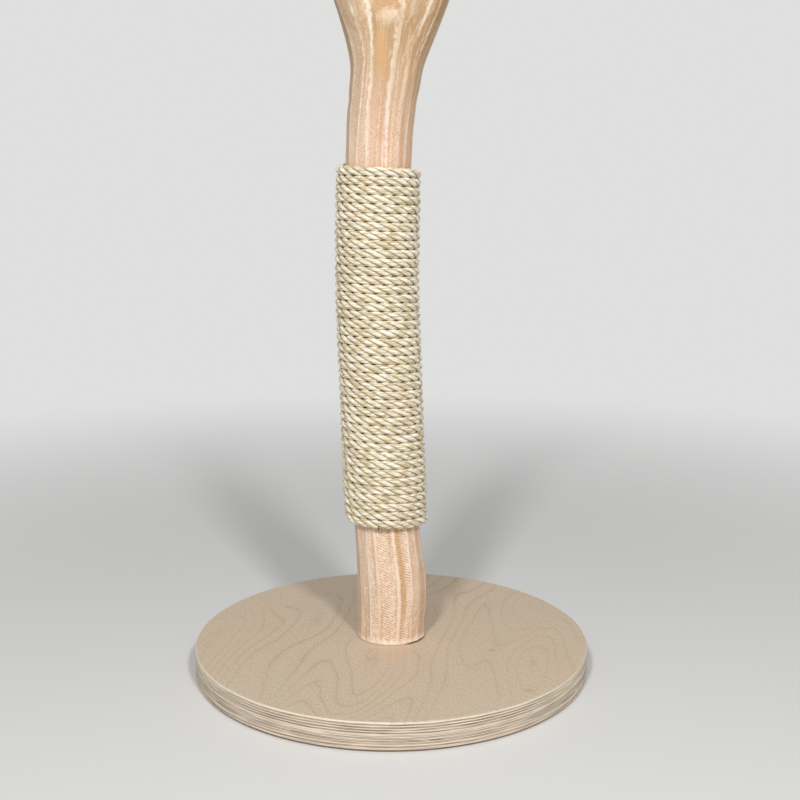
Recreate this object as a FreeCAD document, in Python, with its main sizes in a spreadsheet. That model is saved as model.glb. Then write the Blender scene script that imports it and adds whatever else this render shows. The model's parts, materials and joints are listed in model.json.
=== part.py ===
"""Cat scratching post: a peeled forked log, wrapped in sisal rope, on a round plywood base.

Millimetres. +Z is up and the floor is Z = 0. The origin is the middle of the base, on the floor.
The front, from which the post is seen, is towards -Y. Each piece is written to parts/NODE.step.
"""

import FreeCAD, Part
import math
import os
import Sketcher

X_AXIS = FreeCAD.Vector(1, 0, 0)
Z_AXIS = FreeCAD.Vector(0, 0, 1)
FULL_TURN = 360.0
ON_LEVEL = 1e-4

# Driving dimensions: name, value, and what it is. Lengths in mm, angles in degrees.
SIZES = [
    ("plate_diameter", 450, "round birch plywood base"),
    ("plate_thickness", 30, "its thickness"),
    ("plate_edge_round", 2, "sanded round on its upper edge"),
    ("plate_under_chamfer", 1.5, "chamfer on its lower edge"),
    ("glide_diameter", 28, "felt glides under the base"),
    ("glide_thickness", 2.5, "their thickness"),
    ("glide_inset", 35, "from the base's rim in to the middle of each"),
    ("glide_count", 6, "how many glides"),
    ("foot_chamfer", 1.5, "sanded corner round the log's foot"),
    ("saw_height", 880, "level saw cut across both arms, above the base"),
    ("saw_chamfer", 3, "sanded corner round each saw cut"),
    ("rope_diameter", 9.5, "three-strand sisal rope"),
    ("rope_turn_gap", 0.13, "gap between one turn and the next"),
    ("rope_log_gap", 0.3, "gap between the rope and the log"),
    ("rope_turns", 40.67, "turns round the log"),
    ("rope_low_height", 141.3, "middle of the rope's lower end, above the base"),
    ("rope_low_angle", 20, "where the lower end lies: 0 is right, 90 is back"),
    ("staple_wire", 1.2, "thickness of the staples' wire"),
    ("staple_rope_gap", 0.35, "room between the rope and each leg of a staple"),
    ("staple_leg", 25, "length of the staples' legs, with the crown"),
    ("staple_sink", 2, "how far the crown is pulled into the rope"),
    ("staple_room", 0.05, "room round a staple, in the rope and in the log"),
    ("lag_diameter", 10, "hexagon wood screw up the middle"),
    ("lag_core_diameter", 7.5, "its core, under the thread"),
    ("lag_length", 100, "its length, without the head"),
    ("lag_thread_length", 60, "its threaded length, with the tip"),
    ("lag_pitch", 4.5, "its thread's pitch"),
    ("lag_tip_length", 9, "its pointed tip"),
    ("lag_head_flats", 17, "its head, across the flats"),
    ("lag_head_height", 6.4, "its head's height"),
    ("lag_clear_hole", 11, "hole through the base for it"),
    ("washer_diameter", 30, "large washer above the head"),
    ("washer_hole", 10.5, "its hole"),
    ("washer_thickness", 2.5, "its thickness"),
    ("recess_diameter", 32, "recess for the washer and the head"),
    ("recess_depth", 12, "its depth from the underside"),
    ("side_diameter", 6, "countersunk screws that stop the log turning"),
    ("side_core_diameter", 4, "their core, under the thread"),
    ("side_length", 80, "their whole length"),
    ("side_thread_length", 45, "their threaded length, with the tip"),
    ("side_pitch", 3.2, "their thread's pitch"),
    ("side_tip_length", 6, "their pointed tip"),
    ("side_head_diameter", 12, "their head"),
    ("side_head_cone", 3, "height of the head's cone"),
    ("side_head_sink", 1, "how far the head lies above the underside"),
    ("side_socket_flats", 4, "hexagon socket in the head"),
    ("side_socket_depth", 2.5, "its depth"),
    ("side_clear_hole", 6.4, "holes through the base for these screws"),
    ("side_ring_radius", 26, "radius of the ring that they stand on"),
    ("side_ring_angle", 0, "where the first of them stands: 0 is right, 90 is back"),
    ("side_count", 3, "how many of them"),
    ("screw_room", 0.08, "room round a screw, in the wood"),
    ("thread_root", 0.1, "how deep a thread's ridge is rooted in the core"),
]

# The log's shape: level ellipses, each named, with its rise above the one before, how far its middle
# lies to the right (+X) and to the back (+Y), its width along X and its depth along Y.
STEM_RINGS = [
    ("foot", 0, 0.0, 0.0, 78.0, 64.0),
    ("ankle", 45, 0.9, 0.0, 79.2, 65.0),
    ("shin", 40, -0.5, 0.0, 78.5, 64.5),
    ("low_rope", 45, -4.7, 0.5, 74.3, 61.0),
    ("knee", 70, -8.1, 2.6, 75.2, 61.0),
    ("thigh", 80, -11.0, 7.6, 74.3, 60.5),
    ("hip", 65, -13.5, 12.4, 74.6, 60.5),
    ("waist", 70, -15.5, 15.0, 73.8, 61.0),
    ("chest", 75, -14.5, 15.3, 74.0, 61.0),
    ("top_rope", 50, -13.4, 15.3, 73.3, 61.5),
    ("neck", 50, -10.5, 15.0, 74.6, 62.0),
    ("shoulder", 35, -5.7, 14.5, 77.5, 63.0),
    ("web", 43, -2.8, 14.0, 72.0, 61.5),
    ("crotch", 32, -3.0, 14.0, 52.0, 50.0),
    ("crotch_top", 14, -3.2, 14.0, 26.0, 25.0),
]
# The arms start inside the stem. The first ring of each rises from the stem's ARMS_START ring, and
# the last one lies above the saw cut.
ARMS_START = "top_rope"
LEFT_ARM_RINGS = [
    ("left_root", 40, -24.0, 15.0, 38.0, 37.0),
    ("left_parting", 66, -21.3, 14.5, 46.0, 45.0),
    ("left_split", 61, -32.4, 14.0, 56.0, 55.0),
    ("left_rise", 63, -55.0, 13.0, 56.0, 54.0),
    ("left_bend", 55, -70.0, 12.0, 54.0, 52.5),
    ("left_tip", 165, -104.0, 8.0, 49.0, 48.0),
]
RIGHT_ARM_RINGS = [
    ("right_root", 40, 2.0, 15.0, 38.0, 37.0),
    ("right_parting", 66, 13.1, 14.5, 49.4, 46.0),
    ("right_split", 61, 30.3, 14.5, 64.0, 58.0),
    ("right_rise", 63, 53.0, 15.5, 60.0, 56.5),
    ("right_bend", 55, 70.0, 17.0, 56.5, 54.5),
    ("right_tip", 165, 106.0, 21.0, 51.0, 50.0),
]

# Staples across the rope: name, and how many turns from the rope's lower or upper end each stands.
LOW_STAPLES = [("low_front", 0.336), ("low_end", 0.035)]
TOP_STAPLES = [("top_side", 0.7), ("top_end", 0.035)]
ROPE_CORNERS_PER_TURN = 10
SWEEP_VOLUME_SLACK = 0.01

PLATE_TOP = "(Sizes.glide_thickness + Sizes.plate_thickness)"
GLIDE_RING = "(Sizes.plate_diameter / 2 - Sizes.glide_inset)"
LAG_HEAD_BOTTOM = (
    "(Sizes.glide_thickness + Sizes.recess_depth - Sizes.washer_thickness - Sizes.lag_head_height)"
)
LAG_WHOLE_LENGTH = "(Sizes.lag_head_height + Sizes.lag_length)"
SIDE_HEAD_BOTTOM = "(Sizes.glide_thickness + Sizes.side_head_sink)"
SIDE_WHOLE_LENGTH = "Sizes.side_length"

doc = FreeCAD.newDocument("scratching_post")


def write_sizes():
    """Put every driving dimension into the spreadsheet, one named cell each."""
    rows = [(name, value) for name, value, _ in SIZES]
    for name, *measures in STEM_RINGS + LEFT_ARM_RINGS + RIGHT_ARM_RINGS:
        words = ("_rise", "_right", "_back", "_width", "_depth")
        rows += [(name + word, value) for word, value in zip(words, measures)]
    rows += [(f"staple_{name}_turns", turns) for name, turns in LOW_STAPLES + TOP_STAPLES]
    page = doc.addObject("Spreadsheet::Sheet", "Sizes")
    for line, (name, value) in enumerate(rows, start=1):
        page.set(f"A{line}", name)
        page.set(f"B{line}", str(value))
        page.setAlias(f"B{line}", name)
    doc.recompute()
    return page


sizes = write_sizes()


def size(name):
    """A driving dimension as a plain number."""
    return float(getattr(sizes, name))


def plate_top():
    """Height of the base's top face."""
    return size("glide_thickness") + size("plate_thickness")


def bind(thing, expressions):
    """Tie properties to cells of the spreadsheet."""
    for prop, expression in expressions.items():
        thing.setExpression(prop, expression)
    return thing


# ---- PartDesign helpers ------------------------------------------------------------------------


def new_body(label):
    """A PartDesign body with its label."""
    body = doc.addObject("PartDesign::Body", label)
    body.Label = label
    return body


def origin_feature(body, role):
    """A plane or an axis of the body's own origin."""
    return next(feature for feature in body.Origin.OriginFeatures if feature.Role == role)


def on_plane(body, kind, name, role="XY_Plane"):
    """A new feature of the body that lies on one of its origin planes."""
    feature = body.newObject(kind, name)
    feature.AttachmentSupport = [(origin_feature(body, role), "")]
    feature.MapMode = "FlatFace"
    return feature


def tie(sketch, constraint, name, expression):
    """Add a measured constraint to a sketch and tie it to an expression."""
    sketch.addConstraint(constraint)
    sketch.renameConstraint(sketch.ConstraintCount - 1, name)
    sketch.setExpression("Constraints." + name, expression)


def outline_in(sketch, corners):
    """Draw a closed outline. Each corner is (across, up), both expressions, or None on an axis."""
    count = len(corners)
    for number in range(count):
        here = FreeCAD.Vector(number, number**2, 0)
        after = FreeCAD.Vector(number + 1, number**2 + 1, 0)
        sketch.addGeometry(Part.LineSegment(here, after))
    for number, (across, up) in enumerate(corners):
        before = (number - 1) % count
        sketch.addConstraint(Sketcher.Constraint("Coincident", before, 2, number, 1))
        for kind, axis, measure in (("DistanceX", -2, across), ("DistanceY", -1, up)):
            if measure is None:
                sketch.addConstraint(Sketcher.Constraint("PointOnObject", number, 1, axis))
            else:
                distance = Sketcher.Constraint(kind, -1, 1, number, 1, 1.0 + number)
                tie(sketch, distance, f"{kind}_{number}", measure)
    return sketch


def level_edges(shape, height):
    """Numbers of the shape's edges that lie level at this height, the longest edge first."""
    found = [
        (edge.Length, number)
        for number, edge in enumerate(shape.Edges, start=1)
        if abs(edge.BoundBox.ZMin - height) < ON_LEVEL and abs(edge.BoundBox.ZMax - height) < ON_LEVEL
    ]
    return [number for _, number in sorted(found, reverse=True)]


# ---- base --------------------------------------------------------------------------------------


def drill(body, name, diameter, depth):
    """A round hole up into the body from its lowest plane, on its axis unless it is moved."""
    hole = on_plane(body, "PartDesign::SubtractiveCylinder", name)
    return bind(hole, {"Radius": diameter + " / 2", "Height": depth})


def make_base_plate():
    """The plywood disc, with its sanded edges and the holes for the screws from below."""
    body = new_body("base_plate")
    outline = on_plane(body, "Sketcher::SketchObject", "plate_outline")
    outline.addGeometry(Part.Circle(FreeCAD.Vector(), Z_AXIS, 1))
    outline.addConstraint(Sketcher.Constraint("Coincident", 0, 3, -1, 1))
    tie(outline, Sketcher.Constraint("Diameter", 0, 2), "plate_diameter", "Sizes.plate_diameter")
    pad = body.newObject("PartDesign::Pad", "plate_pad")
    pad.Profile = outline
    bind(pad, {"Length": "Sizes.plate_thickness"})
    doc.recompute()

    upper = body.newObject("PartDesign::Fillet", "plate_round")
    upper.Base = (pad, [f"Edge{level_edges(pad.Shape, size('plate_thickness'))[0]}"])
    bind(upper, {"Radius": "Sizes.plate_edge_round"})
    doc.recompute()
    lower = body.newObject("PartDesign::Chamfer", "plate_under_edge")
    lower.Base = (upper, [f"Edge{level_edges(upper.Shape, 0)[0]}"])
    bind(lower, {"Size": "Sizes.plate_under_chamfer"})
    doc.recompute()

    drill(body, "lag_hole", "Sizes.lag_clear_hole", "Sizes.plate_thickness")
    drill(body, "lag_recess", "Sizes.recess_diameter", "Sizes.recess_depth")
    drill_side_holes(body)
    return bind(body, {"Placement.Base.z": "Sizes.glide_thickness"})


def drill_side_holes(body):
    """The countersunk holes of the side screws, patterned round the middle."""
    hole = drill(body, "side_hole", "Sizes.side_clear_hole", "Sizes.plate_thickness")
    sink = on_plane(body, "PartDesign::SubtractiveCone", "side_countersink")
    slope = "(Sizes.side_head_diameter - Sizes.side_diameter) / 2 / Sizes.side_head_cone"
    bind(
        sink,
        {
            "Radius1": f"Sizes.side_head_diameter / 2 + Sizes.side_head_sink * {slope} + Sizes.screw_room",
            "Radius2": "Sizes.side_diameter / 2 + Sizes.screw_room",
            "Height": "Sizes.side_head_sink + Sizes.side_head_cone",
        },
    )
    for feature in (hole, sink):
        bind(
            feature,
            {
                "AttachmentOffset.Base.x": "Sizes.side_ring_radius * cos(Sizes.side_ring_angle)",
                "AttachmentOffset.Base.y": "Sizes.side_ring_radius * sin(Sizes.side_ring_angle)",
            },
        )
    doc.recompute()
    ring_of_holes = body.newObject("PartDesign::PolarPattern", "side_hole_ring")
    ring_of_holes.Originals = [hole, sink]
    ring_of_holes.Axis = (origin_feature(body, "Z_Axis"), [""])
    ring_of_holes.Angle = FULL_TURN
    bind(ring_of_holes, {"Occurrences": "Sizes.side_count"})
    body.Tip = ring_of_holes


def on_ring(radius, angle, height):
    """Placement expressions for a place on a ring round the Z axis."""
    return {
        "Placement.Base.x": f"{radius} * cos({angle})",
        "Placement.Base.y": f"{radius} * sin({angle})",
        "Placement.Base.z": height,
    }


def make_glide(number):
    """One of the round felt glides, evenly spaced under the base."""
    glide = doc.addObject("Part::Cylinder", f"felt_glide_{number + 1}")
    bind(glide, {"Radius": "Sizes.glide_diameter / 2", "Height": "Sizes.glide_thickness"})
    return bind(glide, on_ring(GLIDE_RING, f"{FULL_TURN} * {number} / Sizes.glide_count", "0"))


# ---- screws from below -------------------------------------------------------------------------


def turn_shank(body, kind, head_corners, whole_length):
    """Turn a screw's head, shank, core and tip about Z. Its head's outer face is Z = 0."""
    shank = f"Sizes.{kind}_diameter / 2"
    core = f"Sizes.{kind}_core_diameter / 2"
    thread_start = f"{whole_length} - Sizes.{kind}_thread_length"
    corners = head_corners + [
        (shank, thread_start),
        (core, f"{thread_start} + {shank} - {core}"),
        (core, f"{whole_length} - Sizes.{kind}_tip_length"),
        (None, whole_length),
        (None, None),
    ]
    outline = outline_in(on_plane(body, "Sketcher::SketchObject", kind + "_outline", "XZ_Plane"), corners)
    turned = body.newObject("PartDesign::Revolution", kind + "_shank")
    turned.Profile = outline
    turned.ReferenceAxis = (outline, ["V_Axis"])
    turned.Angle = FULL_TURN
    doc.recompute()


def wind_thread(body, kind, whole_length):
    """Wind the wood thread, a sharp ridge, round the core as far as the tip."""
    shank = f"Sizes.{kind}_diameter / 2"
    root = f"Sizes.{kind}_core_diameter / 2 - Sizes.thread_root"
    thread_start = f"{whole_length} - Sizes.{kind}_thread_length + {shank} - {root}"
    ridge = outline_in(
        on_plane(body, "Sketcher::SketchObject", kind + "_ridge", "XZ_Plane"),
        [
            (root, thread_start),
            (shank, f"{thread_start} + Sizes.{kind}_pitch / 4"),
            (root, f"{thread_start} + Sizes.{kind}_pitch / 2"),
        ],
    )
    thread = body.newObject("PartDesign::AdditiveHelix", kind + "_thread")
    thread.Profile = ridge
    thread.ReferenceAxis = (ridge, ["V_Axis"])
    thread.Mode = "pitch-height-angle"
    wound = f"Sizes.{kind}_thread_length - Sizes.{kind}_tip_length - 1.5 * Sizes.{kind}_pitch"
    bind(thread, {"Pitch": f"Sizes.{kind}_pitch", "Height": wound})
    doc.recompute()


def hexagon(body, kind, name, across_flats, height):
    """A hexagonal prism up from the body's lowest plane, added or cut away."""
    prism = on_plane(body, kind, name)
    prism.Polygon = 6
    return bind(prism, {"Circumradius": f"{across_flats} / 2 / cos(30)", "Height": height})


def make_lag_screw():
    """The hexagon wood screw that draws the log down on the base."""
    body = new_body("centre_lag_screw")
    turn_shank(body, "lag", [("Sizes.lag_diameter / 2", None)], LAG_WHOLE_LENGTH)
    wind_thread(body, "lag", LAG_WHOLE_LENGTH)
    hexagon(body, "PartDesign::AdditivePrism", "lag_head", "Sizes.lag_head_flats", "Sizes.lag_head_height")
    return bind(body, {"Placement.Base.z": LAG_HEAD_BOTTOM})


def make_washer():
    """The large washer between the lag screw's head and the base."""
    body = new_body("lag_washer")
    disc = on_plane(body, "PartDesign::AdditiveCylinder", "washer_disc")
    bind(disc, {"Radius": "Sizes.washer_diameter / 2", "Height": "Sizes.washer_thickness"})
    drill(body, "washer_bore", "Sizes.washer_hole", "Sizes.washer_thickness")
    return bind(body, {"Placement.Base.z": LAG_HEAD_BOTTOM + " + Sizes.lag_head_height"})


def side_angle(number):
    """Where one of the side screws stands, round the middle of the base."""
    return f"Sizes.side_ring_angle + {FULL_TURN} * {number} / Sizes.side_count"


def make_side_screw(number):
    """One of the countersunk screws that keep the log from turning on the base."""
    body = new_body(f"side_screw_{number + 1}")
    head = [("Sizes.side_head_diameter / 2", None), ("Sizes.side_diameter / 2", "Sizes.side_head_cone")]
    turn_shank(body, "side", head, SIDE_WHOLE_LENGTH)
    wind_thread(body, "side", SIDE_WHOLE_LENGTH)
    flats, depth = "Sizes.side_socket_flats", "Sizes.side_socket_depth"
    hexagon(body, "PartDesign::SubtractivePrism", "side_socket", flats, depth)
    return bind(body, on_ring("Sizes.side_ring_radius", side_angle(number), SIDE_HEAD_BOTTOM))


# ---- log ---------------------------------------------------------------------------------------


def ring(name, height):
    """One level ellipse of the log, at this height."""
    ellipse = doc.addObject("Part::Ellipse", name + "_ring")
    return bind(
        ellipse,
        {
            "MajorRadius": f"Sizes.{name}_width / 2",
            "MinorRadius": f"Sizes.{name}_depth / 2",
            "Placement.Base.x": f"Sizes.{name}_right",
            "Placement.Base.y": f"Sizes.{name}_back",
            "Placement.Base.z": height,
        },
    )


def loft(label, rings, start_height):
    """A smooth solid through the rings, each of which rises from the one before."""
    sections = []
    height = start_height
    for name, *_ in rings:
        sections.append(ring(name, f"{height} + Sizes.{name}_rise * 1 mm"))
        height = f"{sections[-1].Name}.Placement.Base.z"
    solid = doc.addObject("Part::Loft", label)
    solid.Sections = sections
    solid.Solid = True
    return solid


def pilot_hole(label, kind, place, head_bottom, whole_length):
    """A round hole up into the log, as deep as the screw reaches."""
    hole = doc.addObject("Part::Cylinder", label)
    reach = f"{head_bottom} + {whole_length} + Sizes.screw_room - {PLATE_TOP}"
    bind(hole, {"Radius": f"Sizes.{kind}_diameter / 2 + Sizes.screw_room", "Height": reach})
    return bind(hole, place)


def make_pilot_holes():
    """The holes for the lag screw and for the side screws."""
    middle = {"Placement.Base.z": PLATE_TOP}
    holes = [pilot_hole("lag_pilot", "lag", middle, LAG_HEAD_BOTTOM, LAG_WHOLE_LENGTH)]
    for number in range(round(size("side_count"))):
        place = on_ring("Sizes.side_ring_radius", side_angle(number), PLATE_TOP)
        name = f"side_pilot_{number + 1}"
        holes.append(pilot_hole(name, "side", place, SIDE_HEAD_BOTTOM, SIDE_WHOLE_LENGTH))
    return holes


def make_offcut():
    """A block round the arms' tips: what the level saw cut takes away."""
    offcut = doc.addObject("Part::Box", "offcut")
    spread = "Sizes.right_tip_right - Sizes.left_tip_right + Sizes.left_tip_width + Sizes.right_tip_width"
    return bind(
        offcut,
        {
            "Length": spread,
            "Width": "Sizes.left_tip_width + Sizes.right_tip_width",
            "Height": spread,
            "Placement.Base.x": "Sizes.left_tip_right - Sizes.left_tip_width",
            "Placement.Base.y": "Sizes.left_tip_back - Sizes.left_tip_width",
            "Placement.Base.z": PLATE_TOP + " + Sizes.saw_height",
        },
    )


def make_log(stem, staple_hollows):
    """The forked log: stem and two arms in one, sawn, drilled and sanded at its corners."""
    arms_start = f"{ARMS_START}_ring.Placement.Base.z"
    whole = doc.addObject("Part::MultiFuse", "log_whole")
    whole.Shapes = [
        stem,
        loft("left_arm", LEFT_ARM_RINGS, arms_start),
        loft("right_arm", RIGHT_ARM_RINGS, arms_start),
    ]
    waste = doc.addObject("Part::MultiFuse", "log_waste")
    waste.Shapes = [make_offcut()] + make_pilot_holes() + staple_hollows
    cut = doc.addObject("Part::Cut", "log_cut")
    cut.Base = whole
    cut.Tool = waste
    doc.recompute()

    foot, saw = size("foot_chamfer"), size("saw_chamfer")
    sanded = [(number, saw, saw) for number in level_edges(cut.Shape, plate_top() + size("saw_height"))]
    sanded.append((level_edges(cut.Shape, plate_top())[0], foot, foot))
    log = doc.addObject("Part::Chamfer", "forked_log")
    log.Base = cut
    log.Edges = sorted(sanded)
    return log


# ---- rope and its staples ----------------------------------------------------------------------


class LogSkin:
    """The stem's outer surface, read by height and by how far round it a point lies."""

    def __init__(self, stem):
        self.surface = next(
            face.Surface for face in stem.Shape.Faces if face.Surface.TypeId == "Part::GeomBSplineSurface"
        )
        self.u_low, self.u_high, self.v_low, self.v_high = self.surface.bounds()

    def at(self, share_of_turn, height):
        """The point on the skin and its level outward direction."""
        low, high = self.v_low, self.v_high
        for _ in range(40):
            middle = (low + high) / 2
            if self.surface.value(self.u_low, middle).z < height:
                low = middle
            else:
                high = middle
        u = self.u_low + (share_of_turn % 1.0) * (self.u_high - self.u_low)
        across = self.u_low + ((share_of_turn + 0.5) % 1.0) * (self.u_high - self.u_low)
        point = self.surface.value(u, low)
        outward = self.surface.normal(u, low)
        outward.z = 0
        if outward.dot(point - self.surface.value(across, low)) < 0:
            outward = -outward
        return point, outward.normalize()


def rope_place(skin, turns):
    """The middle of the rope this many turns up from its lower end, and its outward direction."""
    pitch = size("rope_diameter") + size("rope_turn_gap")
    height = plate_top() + size("rope_low_height") + turns * pitch
    point, outward = skin.at(size("rope_low_angle") / FULL_TURN - turns, height)
    return point + outward * (size("rope_log_gap") + size("rope_diameter") / 2), outward


def rope_corners(skin):
    """The corners of the rope's route, which touches the rope's true line halfway between two corners."""
    steps = round(size("rope_turns") * ROPE_CORNERS_PER_TURN)

    def middle(step):
        return rope_place(skin, step * size("rope_turns") / steps)[0]

    corners = [
        middle(step) * 2 - (middle(step - 0.5) + middle(step + 0.5)) * 0.5 for step in range(1, steps)
    ]
    lower_end = middle(0.5) * 2 - corners[0]
    upper_end = middle(steps - 0.5) * 2 - corners[-1]
    return [lower_end] + corners + [upper_end]


def rounded_route(corners):
    """A wire of straight runs joined by tangent arcs, each arc as large as its two runs allow."""
    edges, radii = [], []
    start = corners[0]
    for before, corner, after in zip(corners, corners[1:], corners[2:]):
        reach = min((corner - before).Length, (after - corner).Length) / 2
        back, onward = (before - corner).normalize(), (after - corner).normalize()
        turn = (corner - before).getAngle(after - corner)
        radius = reach / math.tan(turn / 2)
        top = corner + (back + onward).normalize() * (radius / math.cos(turn / 2) - radius)
        arc_start = corner + back * reach
        if (arc_start - start).Length > ON_LEVEL:
            edges.append(Part.LineSegment(start, arc_start).toShape())
            start = arc_start
        arc_end = corner + onward * reach
        edges.append(Part.Arc(start, top, arc_end).toShape())
        start = arc_end
        radii.append(radius)
    edges.append(Part.LineSegment(start, corners[-1]).toShape())
    print(f"rope: radii {min(radii):.1f} to {max(radii):.1f}")
    return Part.Wire(edges)


def make_rope(skin, staple_hollows):
    """The rope: a round section swept along its turns, less the notches that the staples press in."""
    corners = rope_corners(skin)
    route = doc.addObject("Part::Feature", "rope_route")
    route.Shape = rounded_route(corners)
    section = doc.addObject("Part::Circle", "rope_section")
    bind(section, {"Radius": "Sizes.rope_diameter / 2"})
    section.Placement = FreeCAD.Placement(corners[0], FreeCAD.Rotation(Z_AXIS, corners[1] - corners[0]))
    laid = doc.addObject("Part::Sweep", "rope_laid")
    laid.Sections = [section]
    laid.Spine = (route, [f"Edge{number + 1}" for number in range(len(route.Shape.Edges))])
    laid.Solid = True
    laid.Frenet = True
    doc.recompute()
    check_sweep(laid.Shape, route.Shape.Length)

    notches = doc.addObject("Part::MultiFuse", "rope_notches")
    notches.Shapes = staple_hollows
    rope = doc.addObject("Part::Cut", "sisal_rope")
    rope.Base = laid
    rope.Tool = notches
    return rope


def check_sweep(shape, length):
    """Stop if the swept rope doesn't hold its section times its length."""
    expected = math.pi * (size("rope_diameter") / 2) ** 2 * length
    share = shape.Volume / expected
    print(f"rope: length {length:.0f}, volume {share:.4f} of its section times its length")
    if abs(share - 1) > SWEEP_VOLUME_SLACK:
        raise RuntimeError("the rope's sweep is not whole")


def make_staple(label, place, room, open_out):
    """A staple, or the hollow round it. Its legs start at X = 0 and its crown lies furthest along +X.

    The hollow is larger by room all round, and runs on outwards by open_out, past the sunken crown.
    """
    body = new_body(label)
    leg_inside = f"(Sizes.rope_diameter / 2 + Sizes.staple_rope_gap - {room})"
    leg_outside = f"(Sizes.rope_diameter / 2 + Sizes.staple_rope_gap + Sizes.staple_wire + {room})"
    leg_end = f"0 - {room}"
    crown_inside = f"Sizes.staple_leg - Sizes.staple_wire - {room}"
    crown_outside = f"Sizes.staple_leg + {open_out}"
    outline = outline_in(
        on_plane(body, "Sketcher::SketchObject", label + "_outline", "XZ_Plane"),
        [
            (leg_end, "0 - " + leg_outside),
            (crown_outside, "0 - " + leg_outside),
            (crown_outside, leg_outside),
            (leg_end, leg_outside),
            (leg_end, leg_inside),
            (crown_inside, leg_inside),
            (crown_inside, "0 - " + leg_inside),
            (leg_end, "0 - " + leg_inside),
        ],
    )
    pad = body.newObject("PartDesign::Pad", label + "_pad")
    pad.Profile = outline
    pad.Midplane = True
    bind(pad, {"Length": f"Sizes.staple_wire + 2 * {room}"})
    body.Placement = place
    return body


def staple_places(skin):
    """Each staple's name and its placement: the middle between its leg ends, facing outwards."""
    turns = [(name, size(f"staple_{name}_turns")) for name, _ in LOW_STAPLES]
    turns += [(name, size("rope_turns") - size(f"staple_{name}_turns")) for name, _ in TOP_STAPLES]
    for name, turn in turns:
        middle, outward = rope_place(skin, turn)
        leg_end = size("rope_diameter") / 2 - size("staple_sink") - size("staple_leg")
        yield name, FreeCAD.Placement(middle + outward * leg_end, FreeCAD.Rotation(X_AXIS, outward))


def make_staples(skin):
    """The staples, and the hollows that they need in the rope and in the log."""
    staples, hollows = [], []
    past_rope = "Sizes.staple_sink + Sizes.staple_wire"
    for name, place in staple_places(skin):
        staples.append(make_staple("rope_staple_" + name, place, "0", "0"))
        hollows.append(make_staple("hollow_" + name, place, "Sizes.staple_room", past_rope))
    return staples, hollows


# ---- the whole post ----------------------------------------------------------------------------


def check_objects():
    """Stop if any object of the document failed."""
    for thing in doc.Objects:
        if "Invalid" in thing.State or "Error" in thing.State:
            raise RuntimeError(f"{thing.Label} failed: {thing.State} {thing.getStatusString()}")


def check_part(part):
    """Stop if a sub-part isn't one valid solid."""
    shape = part.Shape
    if shape.isNull() or not shape.isValid() or len(shape.Solids) != 1:
        raise RuntimeError(f"{part.Label} is not one valid solid")
    box = shape.BoundBox
    print(f"{part.Label}: {shape.Volume / 1000:.2f} cm3, Z {box.ZMin:.1f} to {box.ZMax:.1f}")


def main():
    """Build every piece, check them all and write each to its own file."""
    stem = loft("log_stem", STEM_RINGS, PLATE_TOP + " * 1 mm")
    doc.recompute()
    skin = LogSkin(stem)
    staples, hollows = make_staples(skin)
    parts = [make_base_plate(), make_log(stem, hollows), make_rope(skin, hollows)]
    parts += [make_lag_screw(), make_washer()]
    parts += [make_side_screw(number) for number in range(round(size("side_count")))]
    parts += staples
    parts += [make_glide(number) for number in range(round(size("glide_count")))]
    doc.recompute()
    check_objects()
    for part in parts:
        check_part(part)
    os.makedirs("parts", exist_ok=True)
    for part in parts:
        part.Shape.exportStep(os.path.join("parts", part.Label + ".step"))


main()
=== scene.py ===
"""Looks of a cat scratching post: a peeled forked log, wound with sisal, on a round plywood base.

Metres. +Z is up, the floor is Z = 0 and the front is towards -Y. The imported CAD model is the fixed
frame: the log and the rope get finer meshes in the space of their solids, and every other piece keeps
its own mesh and gets its finish.
"""

from __future__ import annotations

import json
import logging
import math
import random
from bisect import bisect_right
from dataclasses import dataclass, field
from enum import Enum
from functools import reduce

import bmesh
import bpy
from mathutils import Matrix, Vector, noise
from mathutils.bvhtree import BVHTree

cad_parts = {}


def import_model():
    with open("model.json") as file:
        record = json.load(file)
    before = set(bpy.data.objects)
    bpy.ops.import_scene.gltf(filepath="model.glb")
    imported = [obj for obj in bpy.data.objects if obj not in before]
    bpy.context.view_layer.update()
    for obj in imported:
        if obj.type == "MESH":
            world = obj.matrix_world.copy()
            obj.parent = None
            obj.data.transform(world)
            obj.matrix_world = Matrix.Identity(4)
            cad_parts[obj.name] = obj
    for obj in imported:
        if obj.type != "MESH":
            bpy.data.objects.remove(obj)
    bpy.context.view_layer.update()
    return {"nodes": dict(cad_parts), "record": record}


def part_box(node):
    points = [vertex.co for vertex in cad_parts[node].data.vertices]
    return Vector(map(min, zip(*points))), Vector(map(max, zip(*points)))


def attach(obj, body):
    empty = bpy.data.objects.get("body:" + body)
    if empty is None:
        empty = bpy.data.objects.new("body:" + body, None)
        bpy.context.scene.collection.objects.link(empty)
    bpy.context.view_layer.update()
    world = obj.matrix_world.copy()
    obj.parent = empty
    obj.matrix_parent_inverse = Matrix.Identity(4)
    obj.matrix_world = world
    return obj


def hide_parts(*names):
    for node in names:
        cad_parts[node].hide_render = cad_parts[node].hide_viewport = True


LOG = logging.getLogger("scratching_post")
BODY = "root"
MM = 0.001

Socket = bpy.types.NodeSocket
Triple = tuple[float, float, float]
Colour = Triple
LEVEL: Triple = (1.0, 1.0, 0.0)


class Slot(Enum):
    """The record's material slots."""

    PLYWOOD = "plywood"
    LOG = "log"
    SISAL = "sisal"
    STEEL = "steel"
    FELT = "felt"


class Blend(Enum):
    """How one colour is laid over another."""

    MIX = "MIX"
    MULTIPLY = "MULTIPLY"


# ---- shader building ---------------------------------------------------------------------------


@dataclass(frozen=True)
class Pattern:
    """A noise pattern that is cut to run from 0 at low to 1 at high.

    Its stretch is in patches per metre along each axis, its share is how strongly it colours, and
    its offset keeps it unlike the others.
    """

    stretch: Triple
    low: float
    high: float
    share: float = 1.0
    detail: float = 3.0
    offset: Triple = (0.0, 0.0, 0.0)


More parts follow.
